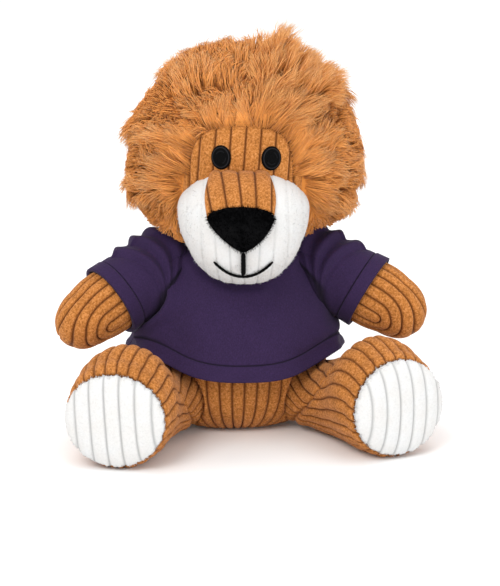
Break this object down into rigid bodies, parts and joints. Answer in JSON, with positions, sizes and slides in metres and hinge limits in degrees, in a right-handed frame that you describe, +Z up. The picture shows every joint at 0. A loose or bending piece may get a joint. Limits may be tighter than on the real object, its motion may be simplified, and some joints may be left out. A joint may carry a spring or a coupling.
{
  "type": "plush lion",
  "caption": "Seated plush lion in wide-wale corduroy with a long-pile mane, white muzzle and foot pads, and a plain jersey T-shirt; head, arms, legs and tail turn at their seams.",
  "frame": {"origin": "centre of the torso's flat seat, on the surface the toy sits on", "axes": "+Z up from the seat to the mane, -Y the way the body faces, +X the toy's own left"},
  "size_m": [0.1654, 0.1675, 0.1713],
  "materials": {
    "brown_corduroy": "matte",
    "mane_pile": "matte",
    "white_corduroy": "matte",
    "black_stitching": "satin",
    "purple_jersey": "matte"
  },
  "bodies": {
    "torso": {"torso": "brown_corduroy", "shirt_front": "purple_jersey", "shirt_back": "purple_jersey", "neckband": "purple_jersey"},
    "neck": {"neck": "brown_corduroy"},
    "head": {"head": "brown_corduroy", "muzzle": "white_corduroy", "nose_bridge": "brown_corduroy", "nose": "black_stitching", "eye_right": "black_stitching", "eye_left": "black_stitching", "philtrum_stitching": "black_stitching", "smile_stitching": "black_stitching", "mane": "mane_pile"},
    "arm_right": {"arm_right": "brown_corduroy", "sleeve_right": "purple_jersey"},
    "arm_left": {"arm_left": "brown_corduroy", "sleeve_left": "purple_jersey"},
    "leg_right": {"leg_right": "brown_corduroy", "sole_right": "white_corduroy"},
    "leg_left": {"leg_left": "brown_corduroy", "sole_left": "white_corduroy"},
    "tail": {"tail": "brown_corduroy", "tail_tuft": "mane_pile"}
  },
  "joints": [
    {"name": "head_turn", "type": "hinge", "parent": "torso", "child": "neck", "pos_m": [0, 0, 0.0855], "axis": [0, 0, 1], "range_deg": [-12, 20], "stiffness_Nm_per_rad": 0.3},
    {"name": "head_nod", "type": "hinge", "parent": "neck", "child": "head", "pos_m": [0, 0, 0.0855], "axis": [0.9903, -0.1392, 0], "range_deg": [-6, 6], "stiffness_Nm_per_rad": 1},
    {"name": "shoulder_right", "type": "hinge", "parent": "torso", "child": "arm_right", "pos_m": [-0.033, -0.004, 0.0735], "axis": [0, 1, 0], "range_deg": [-8, 30], "stiffness_Nm_per_rad": 0.15},
    {"name": "shoulder_left", "type": "hinge", "parent": "torso", "child": "arm_left", "pos_m": [0.033, -0.004, 0.0735], "axis": [0, -1, 0], "range_deg": [-8, 30], "stiffness_Nm_per_rad": 0.15},
    {"name": "hip_right", "type": "hinge", "parent": "torso", "child": "leg_right", "pos_m": [-0.027, -0.014, 0.0165], "axis": [0, 0, -1], "range_deg": [-12, 20], "stiffness_Nm_per_rad": 0.2},
    {"name": "hip_left", "type": "hinge", "parent": "torso", "child": "leg_left", "pos_m": [0.027, -0.014, 0.0165], "axis": [0, 0, 1], "range_deg": [-12, 20], "stiffness_Nm_per_rad": 0.2},
    {"name": "tail_swing", "type": "hinge", "parent": "torso", "child": "tail", "pos_m": [0, 0.029, 0.011], "axis": [0, 0, 1], "range_deg": [-25, 25], "stiffness_Nm_per_rad": 0.02}
  ]
}
